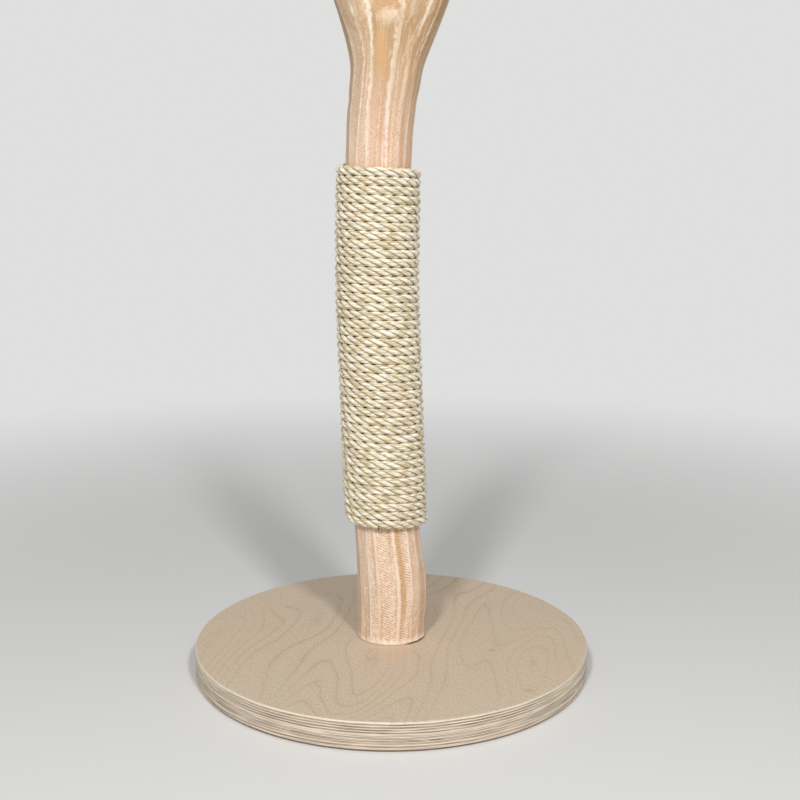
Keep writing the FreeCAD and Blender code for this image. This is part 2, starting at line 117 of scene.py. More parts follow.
class Shader:
    """The node tree of a material or a world, with short ways to add its nodes."""

    def __init__(self, owner: bpy.types.Material | bpy.types.World) -> None:
        """Turns the nodes on.

        Args:
            owner: what the nodes belong to.
        """
        owner.use_nodes = True
        self.owner = owner
        self.nodes = owner.node_tree.nodes
        self.links = owner.node_tree.links

    @classmethod
    def named(cls, name: str) -> Shader:
        """The node tree of a new material."""
        return cls(bpy.data.materials.new(name))

    @property
    def surface(self) -> bpy.types.Node:
        """A material's main node."""
        return self.nodes["Principled BSDF"]

    def add(self, kind: str, inputs: dict | None = None, **settings: object) -> bpy.types.Node:
        """Adds a node.

        Args:
            kind: the node's type name, without its ShaderNode part.
            inputs: socket name or number, with the value or the socket that it takes.
            settings: the node's own settings.

        Returns:
            The node.
        """
        node = self.nodes.new("ShaderNode" + kind)
        for name, value in settings.items():
            setattr(node, name, value)
        for key, value in (inputs or {}).items():
            self.put(node.inputs[key], value)
        return node

    def put(self, socket: Socket, value: object) -> None:
        """Links a socket to another, or sets its value.

        Args:
            socket: the input socket.
            value: an output socket, a number, a vector or a colour.
        """
        if isinstance(value, bpy.types.NodeSocket):
            self.links.new(value, socket)
        elif isinstance(value, tuple) and len(value) == 3 and socket.type == "RGBA":
            socket.default_value = (*value, 1.0)
        else:
            socket.default_value = value

    def maths(self, operation: str, *values: object) -> Socket:
        """A Math node's result, from one to three values."""
        return self.add("Math", dict(enumerate(values)), operation=operation).outputs[0]

    def times(self, *values: object) -> Socket:
        """The product of two or more values."""
        return reduce(lambda product, value: self.maths("MULTIPLY", product, value), values)

    def plus(self, first: object, second: object) -> Socket:
        """The sum of two values."""
        return self.maths("ADD", first, second)

    def minus(self, first: object, second: object) -> Socket:
        """The first value less the second."""
        return self.maths("SUBTRACT", first, second)

    def scaled(self, value: object, slope: object, start: object) -> Socket:
        """A value times a slope, plus a start."""
        return self.maths("MULTIPLY_ADD", value, slope, start)

    def saw(self, value: object, pitch: float) -> Socket:
        """A wave that rises from 0 to 0.5 and falls again in every pitch."""
        return self.maths("PINGPONG", self.maths("DIVIDE", value, pitch), 0.5)

    def vector(self, operation: str, *values: object) -> Socket:
        """A Vector Math node's result, a number for LENGTH and otherwise a vector."""
        node = self.add("VectorMath", dict(enumerate(values)), operation=operation)
        return node.outputs["Value" if operation == "LENGTH" else "Vector"]

    def away(self, place: Socket, middle: Triple, stretch: Triple) -> Socket:
        """How far a place lies from a middle, with each axis stretched."""
        moved = self.vector("SUBTRACT", place, middle)
        return self.vector("LENGTH", self.vector("MULTIPLY", moved, stretch))

    def mix(self, share: object, low: object, high: object, how: Blend = Blend.MIX) -> Socket:
        """Mixes two colours.

        Args:
            share: how much of the second colour, from 0 to 1.
            low: the first colour.
            high: the second colour.
            how: how the second lies over the first.

        Returns:
            The mixed colour.
        """
        node = self.add("Mix", data_type="RGBA", blend_type=how.value)
        for number, value in ((0, share), (6, low), (7, high)):
            self.put(node.inputs[number], value)
        return node.outputs[2]

    def wash(self, colour: object, tint: Colour, share: object, strength: object) -> Socket:
        """Lays a tint over a colour, at a share times a strength."""
        return self.mix(self.times(share, strength), colour, tint)

    def step(self, value: object, low: float, high: float) -> Socket:
        """A smooth step of a value from 0 at low to 1 at high, which may lie below low."""
        limits = {"Value": value, "From Min": low, "From Max": high}
        return self.add("MapRange", limits, interpolation_type="SMOOTHSTEP").outputs[0]

    def noise(
        self, vector: Socket, stretch: Triple, detail: float = 3.0, offset: Triple = (0.0, 0.0, 0.0)
    ) -> Socket:
        """A noise pattern, stretched along the axes.

        Args:
            vector: the place.
            stretch: patches per metre along each axis.
            detail: how many finer layers it has.
            offset: moves the pattern, so that two of them differ.

        Returns:
            The noise, about 0.5.
        """
        place = self.add("Mapping", {"Vector": vector, "Scale": stretch, "Location": offset}).outputs[0]
        return self.add("TexNoise", {"Vector": place, "Scale": 1.0, "Detail": detail}).outputs[0]

    def cut(self, vector: Socket, pattern: Pattern) -> Socket:
        """A pattern from 0 to 1 over the places of a vector."""
        raw = self.noise(vector, pattern.stretch, pattern.detail, pattern.offset)
        return self.step(raw, pattern.low, pattern.high)

    def lay(self, colour: object, tint: Colour, vector: Socket, pattern: Pattern) -> Socket:
        """Lays a tint over a colour where a pattern runs."""
        return self.wash(colour, tint, self.cut(vector, pattern), pattern.share)

    def bump(self, height: object, depth: float, strength: float = 1.0, under: object = None) -> Socket:
        """A bump.

        Args:
            height: the pattern, from 0 to 1.
            depth: the height of its relief in metres.
            strength: its strength.
            under: the normal of a bump below it.

        Returns:
            The bumped normal.
        """
        node = self.add("Bump", {"Height": height, "Distance": depth, "Strength": strength})
        if under is not None:
            self.put(node.inputs["Normal"], under)
        return node.outputs[0]

    def attribute(self, name: str) -> bpy.types.Node:
        """The node that reads a mesh attribute."""
        return self.add("Attribute", attribute_name=name)

    def split(self, vector: Socket) -> list[Socket]:
        """The three numbers of a vector."""
        return list(self.add("SeparateXYZ", {0: vector}).outputs)

    def place(self) -> Socket:
        """Object coordinates."""
        return self.add("TexCoord").outputs["Object"]

    def seen(self) -> Socket:
        """1 where the camera looks, straight or by way of a gloss."""
        rays = self.add("LightPath").outputs
        return self.maths("MAXIMUM", rays["Is Camera Ray"], rays["Is Glossy Ray"])

    def finish(self, colour: object, roughness: object, normal: object = None) -> bpy.types.Material:
        """Joins the looks to the surface.

        Args:
            colour: base colour.
            roughness: roughness, a number or a socket.
            normal: the bumped normal.

        Returns:
            The material.
        """
        self.put(self.surface.inputs["Base Color"], colour)
        self.put(self.surface.inputs["Roughness"], roughness)
        if normal is not None:
            self.put(self.surface.inputs["Normal"], normal)
        return self.owner

    def cover(self, share: object, layer: Socket) -> None:
        """Lays another surface over this one, as far as the share says."""
        mixed = self.add("MixShader", {0: share, 1: self.surface.outputs[0], 2: layer}).outputs[0]
        self.put(self.nodes["Material Output"].inputs["Surface"], mixed)


# ---- finishes ----------------------------------------------------------------------------------


@dataclass(frozen=True)
class BirchPlywood:
    """Rotary-cut birch face with its wavy growth lines, and the bare plies of the rim."""

    thickness: float
    underside: float
    radius: float
    ply_count: int = 21
    face: Colour = (0.670, 0.556, 0.420)
    face_warm: Colour = (0.695, 0.556, 0.420)
    line: Colour = (0.430, 0.280, 0.140)
    knot: Colour = (0.520, 0.330, 0.160)
    stain: Colour = (0.700, 0.470, 0.290)
    # Pale sanded top edge, in part a painted highlight of the rounded edge.
    edge: Colour = (0.860, 0.770, 0.630)
    cream_ply: Colour = (0.900, 0.790, 0.630)
    brown_ply: Colour = (0.270, 0.175, 0.115)
    glue: Colour = (0.090, 0.055, 0.035)
    roughness: float = 0.62
    relief: float = 0.06 * MM
    sanded_highlight_width: float = 1.7 * MM
    grain_turn: float = math.radians(18.0)
    growth_lines: float = 24.0
    patches: Pattern = Pattern((6.0, 4.0, 0.0), 0.36, 0.68, detail=2.0, offset=(0.0, 7.0, 0.0))
    fleck: Pattern = Pattern((760.0, 240.0, 0.0), 0.44, 0.62, share=0.38, detail=4.0)
    cloud: Pattern = Pattern((9.0, 4.0, 0.0), 0.35, 0.70, offset=(5.0, 1.0, 0.0))
    knots: tuple = ((0.1136, -0.0432, 0.0), (0.1449, -0.1495, 0.0), (-0.128, 0.094, 0.0))
    knot_radius: float = 5.5 * MM
    knot_stretch: Triple = (1.0, 1.3, 0.0)
    stain_place: Triple = (0.004, -0.052, 0.0)
    stain_radius: float = 34.0 * MM
    ply_wave: float = 1.2 * MM
    streak: Pattern = Pattern((36.0, 36.0, 1700.0), 0.36, 0.66)
    broken: Pattern = Pattern((22.0, 22.0, 320.0), 0.36, 0.54, detail=2.0)
    void: Pattern = Pattern((38.0, 38.0, 620.0), 0.735, 0.77, detail=1.0, offset=(11.0, 4.0, 2.0))

    def material(self) -> bpy.types.Material:
        """Makes the material for both the face and the rim."""
        shader = Shader.named("birch_plywood")
        place = shader.place()
        z = shader.split(place)[2]
        ply = self.thickness / self.ply_count
        top = self.underside + self.thickness
        on_top = shader.step(z, top - 1.05 * ply, top - 0.85 * ply)
        below = shader.step(z, self.underside + 1.05 * ply, self.underside + 0.85 * ply)
        flat = shader.maths("MAXIMUM", on_top, below)
        colour = shader.mix(flat, self.rim_colour(shader, place), self.face_colour(shader, place))
        # The pale band on the rounded top edge is sanded wood and in part a painted highlight of the edge.
        away = shader.away(place, (0.0, 0.0, 0.0), LEVEL)
        sanded = shader.step(away, self.radius - self.sanded_highlight_width, self.radius - self.sanded_highlight_width + MM)
        colour = shader.wash(colour, self.edge, shader.times(on_top, sanded), 0.8)
        fine = shader.noise(place, (900.0, 220.0, 900.0), 2.0)
        return shader.finish(colour, self.roughness, shader.bump(fine, self.relief, 0.6))

    def face_colour(self, shader: Shader, place: Socket) -> Socket:
        """The veneer's colour.

        Args:
            shader: the material being built.
            place: object coordinates.

        Returns:
            Its colour.
        """
        turned = shader.add("Mapping", {"Vector": place, "Rotation": (0.0, 0.0, self.grain_turn)}).outputs[0]
        swell = shader.noise(turned, (7.5, 2.6, 0.0), 1.0, (3.1, 0.4, 0.0))
        ripple = shader.noise(turned, (70.0, 24.0, 0.0), 2.0)
        hills = shader.plus(swell, shader.times(ripple, 0.022))
        rings = shader.maths("PINGPONG", shader.times(hills, self.growth_lines), 0.5)
        patches = shader.cut(turned, self.patches)
        colour = shader.mix(shader.cut(turned, self.cloud), self.face, self.face_warm)
        colour = shader.lay(colour, self.line, turned, self.fleck)
        haze = shader.step(rings, 0.36, 0.0)
        colour = shader.wash(colour, self.line, haze, shader.scaled(patches, 0.10, 0.02))
        lines = shader.step(rings, 0.075, 0.0)
        colour = shader.wash(colour, self.line, lines, shader.scaled(patches, 0.34, 0.06))
        ragged = shader.times(ripple, 0.9)
        for number, middle in enumerate(self.knots):
            away = shader.away(place, middle, self.knot_stretch)
            away = shader.plus(shader.maths("DIVIDE", away, self.knot_radius), ragged)
            rim = shader.step(shader.maths("ABSOLUTE", shader.minus(away, 1.25)), 0.40, 0.05)
            heart = shader.step(away, 1.35, 0.75)
            spotted = shader.maths("MAXIMUM", shader.times(rim, 0.40), shader.times(heart, 0.80))
            colour = shader.wash(colour, self.knot, spotted, 0.90 - 0.12 * number)
        away = shader.away(place, self.stain_place, self.knot_stretch)
        return shader.wash(colour, self.stain, shader.step(away, self.stain_radius, 6.0 * MM), 0.38)

    def rim_colour(self, shader: Shader, place: Socket) -> Socket:
        """The colour of the bare plies.

        Args:
            shader: the material being built.
            place: object coordinates.

        Returns:
            Its colour.
        """
        x, y, z = shader.split(place)
        height = shader.scaled(shader.noise(place, (8.0, 8.0, 0.0), 2.0), self.ply_wave, z)
        plies = shader.times(shader.minus(height, self.underside), self.ply_count / self.thickness)
        number = shader.maths("FLOOR", plies)
        own = shader.add("TexWhiteNoise", {"W": number}, noise_dimensions="1D").outputs["Value"]
        wide = shader.minus(shader.maths("ABSOLUTE", x), shader.maths("ABSOLUTE", y))
        swap = shader.step(wide, -0.06, 0.06)
        crosswise = shader.maths("ABSOLUTE", shader.minus(shader.maths("MODULO", number, 2.0), swap))
        streak = shader.cut(place, self.streak)
        dark = shader.scaled(shader.step(own, 0.2, 0.9), 0.82, 0.16)
        dark = shader.times(crosswise, dark, shader.scaled(streak, -0.55, 1.0))
        colour = shader.mix(dark, shader.mix(streak, self.face, self.cream_ply), self.brown_ply)
        join = shader.step(shader.maths("PINGPONG", plies, 0.5), 0.24, 0.08)
        sharp = shader.times(join, shader.step(own, 0.20, 0.65))
        broken = shader.scaled(shader.cut(place, self.broken), 0.80, 0.20)
        colour = shader.wash(colour, self.glue, sharp, broken)
        return shader.wash(colour, self.glue, shader.cut(place, self.void), crosswise)


@dataclass(frozen=True)
class LogSurface:
    """The log's material as it is built, with what its patterns read.

    They are the place in object coordinates and in the straightened log, how far it lies from its
    facet's middle line, its height, its facet's own number, and 1 on the ridges between facets.
    """

    shader: Shader
    place: Socket
    grain: Socket
    across: Socket
    height: Socket
    tone: Socket
    ridge: Socket


@dataclass(frozen=True)
class PeeledWood:
    """Peeled log, smoothed in long facets: pale ridges, peach bands with slanting tool marks."""

    peach: Colour = (0.800, 0.550, 0.370)
    blush: Colour = (0.780, 0.530, 0.415)
    cream: Colour = (0.950, 0.810, 0.655)
    ripe: Colour = (0.740, 0.730, 0.660)
    tan: Colour = (0.620, 0.350, 0.180)
    amber: Colour = (0.620, 0.360, 0.130)
    golden: Colour = (0.500, 0.335, 0.155)
    olive: Colour = (0.440, 0.340, 0.190)
    groove: Colour = (0.540, 0.260, 0.115)
    # Dark colour of knots and cracks, also used as painted shadow for the gap under the foot.
    bark_and_painted_shadow: Colour = (0.180, 0.095, 0.045)
    heart: Colour = (0.560, 0.360, 0.200)
    roughness: float = 0.60
    foot: float = 32.5 * MM
    rope_top: float = 0.56
    fork: float = 0.70
    blushes: Pattern = Pattern((70.0, 70.0, 2.2), 0.38, 0.62, detail=2.0)
    sapwood: Pattern = Pattern((170.0, 170.0, 5.0), 0.47, 0.57, detail=2.0, offset=(6.0, 2.0, 3.0))
    pale_streaks: Pattern = Pattern((560.0, 560.0, 9.0), 0.44, 0.64, share=0.55, detail=4.0)
    dark_streaks: Pattern = Pattern(
        (420.0, 420.0, 8.0), 0.53, 0.68, share=0.58, detail=4.0, offset=(2.0, 8.0, 0.0)
    )
    amber_streaks: Pattern = Pattern(
        (95.0, 95.0, 4.0), 0.62, 0.74, share=0.65, detail=2.0, offset=(9.0, 1.0, 4.0)
    )
    olive_streaks: Pattern = Pattern(
        (60.0, 60.0, 3.0), 0.58, 0.72, share=0.50, detail=2.0, offset=(1.0, 5.0, 2.0)
    )
    pores: Pattern = Pattern((700.0, 700.0, 260.0), 0.50, 0.66, share=0.40)
    worn: Pattern = Pattern((110.0, 110.0, 12.0), 0.24, 0.60)
    broad: Pattern = Pattern((80.0, 80.0, 7.0), 0.42, 0.62, share=0.30, detail=2.0, offset=(7.0, 3.0, 1.0))
    mark_pitch: float = 3.0 * MM
    mark_slope: float = 0.45
    mark_wobble: float = 3.2 * MM
    mark_depth: float = 0.18 * MM
    mark_patches: Pattern = Pattern((60.0, 60.0, 24.0), 0.26, 0.50, offset=(4.0, 4.0, 4.0))
    mark_specks: Pattern = Pattern((240.0, 240.0, 460.0), 0.30, 0.56, detail=2.0)
    fork_eye: Triple = (-0.004, -0.014, 0.764)
    fork_stretch: Triple = (1.25, 0.5, 0.75)
    arc_pitch: float = 3.4 * MM
    streak_place: Triple = (-0.010, -0.016, 0.688)
    streak_size: Triple = (8.0 * MM, 30.0 * MM, 30.0 * MM)
    pale_place: Triple = (-0.003, -0.020, 0.723)
    pale_size: Triple = (13.0 * MM, 30.0 * MM, 11.0 * MM)
    ring_pitch: float = 2.4 * MM

    def material(self, piths: list[Vector], knots: list[tuple[Vector, float]]) -> bpy.types.Material:
        """Makes the material.

        Args:
            piths: the middle of each sawn end.
            knots: the middle and the radius of each knot.

        Returns:
            The material.
        """
        shader = Shader.named("peeled_wood")
        grain = shader.attribute("grain").outputs["Vector"]
        facet = shader.split(shader.attribute("facet").outputs["Vector"])
        ridge = shader.attribute("ridge").outputs["Fac"]
        log = LogSurface(shader, shader.place(), grain, *facet, ridge)
        colour = self.fork_figure(log, self.bands(log))
        jagged = shader.scaled(shader.noise(grain, (420.0, 420.0, 170.0)), 2.1, -1.1)
        edge = shader.plus(ridge, shader.scaled(shader.cut(grain, self.broad), self.broad.share, jagged))
        crest = shader.times(shader.step(edge, 0.30, 1.00), shader.cut(grain, self.worn))
        marks = self.tool_marks(log, crest)
        colour = shader.wash(colour, self.groove, marks, 0.80)
        colour = shader.wash(colour, self.cream, crest, 0.58)
        colour = self.foot_rim_and_shadow(log, colour)
        fibre = shader.noise(grain, (1600.0, 1600.0, 60.0))
        normal = shader.bump(fibre, 0.10 * MM, 0.6, shader.bump(marks, -self.mark_depth, 0.7))
        for middle, radius in knots:
            colour = self.knot(log, colour, middle, radius)
        return shader.finish(self.sawn_end(log, colour, piths), self.roughness, normal)

    def bands(self, log: LogSurface) -> Socket:
        """The wood's bands and streaks along its grain.

        Args:
            log: the material being built.

        Returns:
            The colour.
        """
        shader, grain = log.shader, log.grain
        colour = shader.mix(shader.cut(grain, self.blushes), self.peach, self.blush)
        golden = shader.step(log.height, self.fork - 0.10, self.fork + 0.03)
        colour = shader.wash(colour, self.golden, golden, 0.82)
        low = shader.times(shader.step(log.height, self.rope_top - 0.1, self.rope_top - 0.3), 0.72)
        colour = shader.mix(low, colour, self.cream)
        sapwood = shader.cut(grain, self.sapwood)
        colour = shader.wash(colour, self.tan, sapwood, shader.scaled(low, 0.36, 0.14))
        colour = shader.wash(colour, self.cream, shader.step(log.tone, 0.60, 1.0), 0.45)
        colour = shader.wash(colour, self.tan, shader.step(log.tone, 0.35, 0.05), 0.35)
        for tint, pattern in (
            (self.cream, self.pale_streaks),
            (self.tan, self.dark_streaks),
            (self.amber, self.amber_streaks),
            (self.olive, self.olive_streaks),
            (self.tan, self.pores),
        ):
            colour = shader.lay(colour, tint, grain, pattern)
        ripe = shader.step(log.height, self.rope_top - 0.05, self.fork + 0.04)
        return shader.mix(ripe, colour, self.ripe, Blend.MULTIPLY)

    def fork_figure(self, log: LogSurface, colour: Socket) -> Socket:
        """Lays the figure round the parting of the arms: arcs, a pale spot and an amber streak.

        Args:
            log: the material being built.
            colour: the colour so far.

        Returns:
            The colour with the figure.
        """
        shader, place = log.shader, log.place
        warp = shader.noise(place, (60.0, 60.0, 40.0))
        away = shader.scaled(warp, 7.0 * MM, shader.away(place, self.fork_eye, self.fork_stretch))
        arcs = shader.step(shader.saw(away, self.arc_pitch), 0.22, 0.44)
        near = shader.step(away, 0.045, 0.026)
        colour = shader.wash(colour, self.golden, near, 0.55)
        colour = shader.wash(colour, self.tan, shader.times(arcs, near), 0.75)
        ragged = shader.times(shader.noise(place, (220.0, 220.0, 70.0), 4.0), 1.6)
        for middle, size, share, tint in (
            (self.pale_place, self.pale_size, 0.46, self.cream),
            (self.streak_place, self.streak_size, 0.74, self.amber),
        ):
            away = shader.away(place, middle, tuple(1.0 / side for side in size))
            spot = shader.step(shader.plus(away, ragged), 2.0, 1.1)
            colour = shader.wash(colour, tint, spot, share)
        return colour

    def foot_rim_and_shadow(self, log: LogSurface, colour: Socket) -> Socket:
        """Lays the pale sanded rim of the foot over the colour, and a painted shadow of the small gap under
        the foot at the right.

        Args:
            log: the material being built.
            colour: the colour so far.

        Returns:
            The colour with the foot's rim and its painted shadow.
        """
        shader = log.shader
        ragged = shader.times(shader.noise(log.place, (260.0, 260.0, 90.0)), 16.0 * MM)
        level = shader.minus(log.height, self.foot)
        sanded = shader.step(shader.minus(level, ragged), 1.0 * MM, -5.0 * MM)
        colour = shader.wash(colour, self.cream, sanded, 0.75)
        # Painted shadow: a dark band low on the foot's right side stands in for the shade of the gap under
        # the foot.
        right = shader.step(shader.split(log.place)[0], 0.014, 0.022)
        gap_shadow = shader.step(shader.scaled(ragged, 0.12, level), 3.6 * MM, 2.8 * MM)
        return shader.wash(colour, self.bark_and_painted_shadow, right, gap_shadow)

    def tool_marks(self, log: LogSurface, crest: Socket) -> Socket:
        """The slanting marks on the facets, which are steeper and fainter above the rope.

        Args:
            log: the material being built.
            crest: 1 where a ridge is pale.

        Returns:
            The marks, from 0 to 1.
        """
        shader = log.shader
        above = shader.step(log.height, self.rope_top - 0.09, self.rope_top - 0.03)
        lean = shader.scaled(above, -0.45, log.tone)
        side = shader.scaled(shader.step(lean, 0.34, 0.36), 2.0, -1.0)
        slope = shader.times(side, log.across, shader.scaled(above, self.mark_slope, self.mark_slope))
        wobble = shader.times(shader.noise(log.place, (120.0, 120.0, 90.0), 4.0), self.mark_wobble)
        travel = shader.plus(shader.plus(log.height, slope), wobble)
        travel = shader.times(travel, shader.scaled(above, -0.16, 1.0))
        lines = shader.step(shader.saw(travel, self.mark_pitch), 0.14, 0.40)
        everywhere = shader.scaled(above, -0.55, 0.55)
        patches = shader.maths("MAXIMUM", shader.cut(log.place, self.mark_patches), everywhere)
        marks = shader.times(lines, patches, shader.cut(log.place, self.mark_specks))
        clear = shader.times(shader.minus(1.0, crest), shader.step(log.ridge, 0.96, 0.70))
        return shader.times(marks, shader.scaled(above, -0.30, 1.0), clear)

    def knot(self, log: LogSurface, colour: Socket, middle: Vector, radius: float) -> Socket:
        """Lays a small knot over the colour.

        Args:
            log: the material being built.
            colour: the colour so far.
            middle: the knot's middle.
            radius: the radius of its dark part.

        Returns:
            The colour with the knot.
        """
        shader = log.shader
        ragged = shader.scaled(shader.noise(log.place, (420.0, 420.0, 300.0), 2.0), radius, -0.5 * radius)
        away = shader.plus(shader.away(log.place, tuple(middle), (1.0, 1.0, 0.55)), ragged)
        colour = shader.wash(colour, self.amber, shader.step(away, 3.4 * radius, 0.6 * radius), 0.55)
        return shader.wash(colour, self.bark_and_painted_shadow, shader.step(away, radius, 0.35 * radius), 0.85)

    def sawn_end(self, log: LogSurface, colour: Socket, piths: list[Vector]) -> Socket:
        """Lays the growth rings over the sawn ends.

        Args:
            log: the material being built.
            colour: the colour so far.
            piths: the middle of each sawn end.

        Returns:
            The colour with its sawn ends.
        """
        shader = log.shader
        x, y, z = shader.split(log.place)
        away: object = 1.0
        angle: object = 0.0
        for pith in piths:
            far = shader.away(log.place, tuple(pith), LEVEL)
            turn = shader.maths("ARCTAN2", shader.minus(y, pith.y), shader.minus(x, pith.x))
            angle = shader.plus(angle, shader.times(shader.maths("LESS_THAN", far, 0.06), turn))
            away = shader.maths("MINIMUM", away, far)
        warp = shader.times(shader.noise(log.place, (45.0, 45.0, 0.0)), 5.0 * MM)
        late = shader.step(shader.saw(shader.plus(away, warp), self.ring_pitch), 0.28, 0.48)
        end = shader.wash(self.cream, self.tan, late, 0.55)
        end = shader.wash(end, self.heart, shader.step(away, 0.016, 0.006), 0.55)
        polar = shader.add("CombineXYZ", {0: angle, 1: away}).outputs[0]
        rays = shader.step(shader.noise(polar, (26.0, 20.0, 1.0), 2.0), 0.55, 0.75)
        end = shader.wash(end, self.peach, rays, 0.30)
        crack = shader.step(shader.maths("ABSOLUTE", shader.scaled(warp, 60.0, angle)), 0.055, 0.015)
        crack = shader.times(crack, shader.step(away, 0.020, 0.014))
        end = shader.wash(end, self.bark_and_painted_shadow, crack, 0.8)
        return shader.mix(shader.step(z, piths[0].z - 2.2 * MM, piths[0].z - 1.2 * MM), colour, end)


@dataclass(frozen=True)
class SisalFibre:
    """Natural sisal: straw-coloured fibres that lie along the rope, pale fibres that are in part painted
    highlights, and painted shade between the strands.
    """

    straw: Colour = (0.780, 0.665, 0.430)
    # Pale fibres, which in part stand in for painted highlights on the strands.
    pale_fibre_and_highlight: Colour = (0.975, 0.935, 0.825)
    gold: Colour = (0.540, 0.380, 0.160)
    olive: Colour = (0.450, 0.385, 0.170)
    # Painted shade of the creases between strands and rows.
    shade: Colour = (0.270, 0.195, 0.080)
    roughness: float = 0.72
    stray_roughness: float = 0.65
    relief: float = 0.52 * MM
    patches: Pattern = Pattern((220.0, 220.0, 75.0), 0.50, 0.70, share=0.65, detail=2.0)
    tints: Pattern = Pattern(
        (120.0, 120.0, 40.0), 0.52, 0.68, share=0.50, detail=2.0, offset=(7.0, 1.0, 0.0)
    )
    stray_patches: Pattern = Pattern((180.0, 180.0, 180.0), 0.35, 0.65, detail=1.0)

    def material(self) -> bpy.types.Material:
        """Makes the material for the strands."""
        shader = Shader.named("sisal_strand")
        fibre = shader.attribute("fibre").outputs["Vector"]
        depth = shader.attribute("depth").outputs["Fac"]
        threads = shader.noise(fibre, (1150.0, 1150.0, 110.0))
        yarns = shader.noise(fibre, (600.0, 600.0, 70.0), offset=(3.0, 3.0, 3.0))
        # Pale threads and patches are pale fibres and, in part, painted highlights.
        colour = shader.mix(shader.step(threads, 0.38, 0.60), self.straw, self.pale_fibre_and_highlight)
        colour = shader.lay(colour, self.pale_fibre_and_highlight, fibre, self.patches)
        colour = shader.wash(colour, self.gold, shader.step(yarns, 0.51, 0.60), 0.78)
        colour = shader.lay(colour, self.olive, fibre, self.tints)
        # Painted shade: the strands darken towards the rope's middle, in the creases between strands and
        # rows.
        colour = shader.wash(colour, self.shade, shader.step(depth, 0.10, 0.62), 0.84)
        normal = shader.bump(shader.plus(threads, shader.times(yarns, 1.6)), self.relief)
        self.sheen(shader)
        return shader.finish(colour, self.roughness, normal)

    def stray_material(self) -> bpy.types.Material:
        """Makes the material for the stray fibres."""
        shader = Shader.named("sisal_stray_fibre")
        colour = shader.mix(shader.cut(shader.place(), self.stray_patches), self.pale_fibre_and_highlight, self.straw)
        self.sheen(shader)
        return shader.finish(colour, self.stray_roughness)

    def sheen(self, shader: Shader) -> None:
        """Gives the fibres their soft gloss."""
        shader.surface.inputs["Sheen Weight"].default_value = 0.25
        shader.surface.inputs["Sheen Roughness"].default_value = 0.45


@dataclass(frozen=True)
class ZincSteel:
    """Zinc-plated steel of the screws and the washer, or the staples' wire, painted dark to stand in for the
    shade it lies in.
    """

    name: str
    light: Colour = (0.62, 0.63, 0.64)
    dull: Colour = (0.40, 0.41, 0.42)
    smoothest: float = 0.28
    roughest: float = 0.46

    def material(self) -> bpy.types.Material:
        """Makes the material."""
        shader = Shader.named(self.name)
        spangle = shader.noise(shader.place(), (420.0, 420.0, 420.0))
        colour = shader.mix(shader.step(spangle, 0.35, 0.70), self.light, self.dull)
        limits = {"Value": spangle, "To Min": self.smoothest, "To Max": self.roughest}
        rough = shader.add("MapRange", limits).outputs[0]
        shader.surface.inputs["Metallic"].default_value = 1.0
        return shader.finish(colour, rough, shader.bump(spangle, 0.03 * MM, 0.5))


@dataclass(frozen=True)
class PressedFelt:
    """Grey-brown pressed felt of the glides."""

    wool: Colour = (0.160, 0.130, 0.105)
    lint: Colour = (0.300, 0.255, 0.210)
    roughness: float = 0.95
    clumps: Pattern = Pattern((260.0, 260.0, 260.0), 0.45, 0.65, share=0.35)

    def material(self) -> bpy.types.Material:
        """Makes the material."""
        shader = Shader.named("pressed_felt")
        place = shader.place()
        lint = shader.noise(place, (1500.0, 1500.0, 1500.0), 4.0)
        colour = shader.mix(shader.step(lint, 0.40, 0.70), self.wool, self.lint)
        colour = shader.lay(colour, self.lint, place, self.clumps)
        shader.surface.inputs["Sheen Weight"].default_value = 0.4
        return shader.finish(colour, self.roughness, shader.bump(lint, 0.25 * MM, 0.8))


# ---- sub-assemblies ----------------------------------------------------------------------------


def dress(piece: bpy.types.Object, material: bpy.types.Material) -> None:
    """Gives a piece its finish."""
    piece.data.materials.clear()
    piece.data.materials.append(material)


def settle(piece: bpy.types.Object, material: bpy.types.Material) -> bpy.types.Object:
    """Dresses a new piece and lets it ride on the post.

    Args:
        piece: the piece.
        material: its finish.

    Returns:
        The piece.
    """
    dress(piece, material)
    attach(piece, BODY)
    return piece


def clamped(value: float) -> float:
    """A value held between 0 and 1."""
    return max(0.0, min(1.0, value))


def object_from(data: bpy.types.ID, name: str) -> bpy.types.Object:
    """Makes an object at the origin and puts it in the scene.

    Args:
        data: the mesh, the camera or the lamp that it shows.
        name: the object's name.

    Returns:
        The object.
    """
    piece = bpy.data.objects.new(name, data)
    bpy.context.scene.collection.objects.link(piece)
    return piece


def smooth_mesh_from(form: bmesh.types.BMesh, mesh: bpy.types.Mesh) -> None:
    """Writes a form into a mesh and smooths its shading.

    Args:
        form: the form, which is freed.
        mesh: the mesh.
    """
    form.to_mesh(mesh)
    form.free()
    for face in mesh.polygons:
        face.use_smooth = True


def tube_curve(name: str, radius: float, bevel_rings: int) -> bpy.types.Curve:
    """Makes an empty curve that will be a round tube.

    Args:
        name: its name.
        radius: the tube's radius.
        bevel_rings: how finely it is rounded.

    Returns:
        The curve.
    """
    curve = bpy.data.curves.new(name, "CURVE")
    curve.dimensions = "3D"
    curve.bevel_depth = radius
    curve.bevel_resolution = bevel_rings
    return curve


def add_line(curve: bpy.types.Curve, places: list[Vector]) -> bpy.types.Spline:
    """Adds a line through places to a curve.

    Args:
        curve: the curve.
        places: the places in order.

    Returns:
        The line.
    """
    line = curve.splines.new("POLY")
    line.points.add(len(places) - 1)
    for knot, place in zip(line.points, places):
        knot.co = (*place, 1.0)
    return line


def mesh_of(curve: bpy.types.Curve) -> bpy.types.Mesh:
    """Makes a curve's mesh and removes the curve.

    Args:
        curve: the curve.

    Returns:
        The mesh.
    """
    holder = bpy.data.objects.new(curve.name, curve)
    mesh = bpy.data.meshes.new_from_object(holder)
    bpy.data.objects.remove(holder)
    bpy.data.curves.remove(curve)
    return mesh


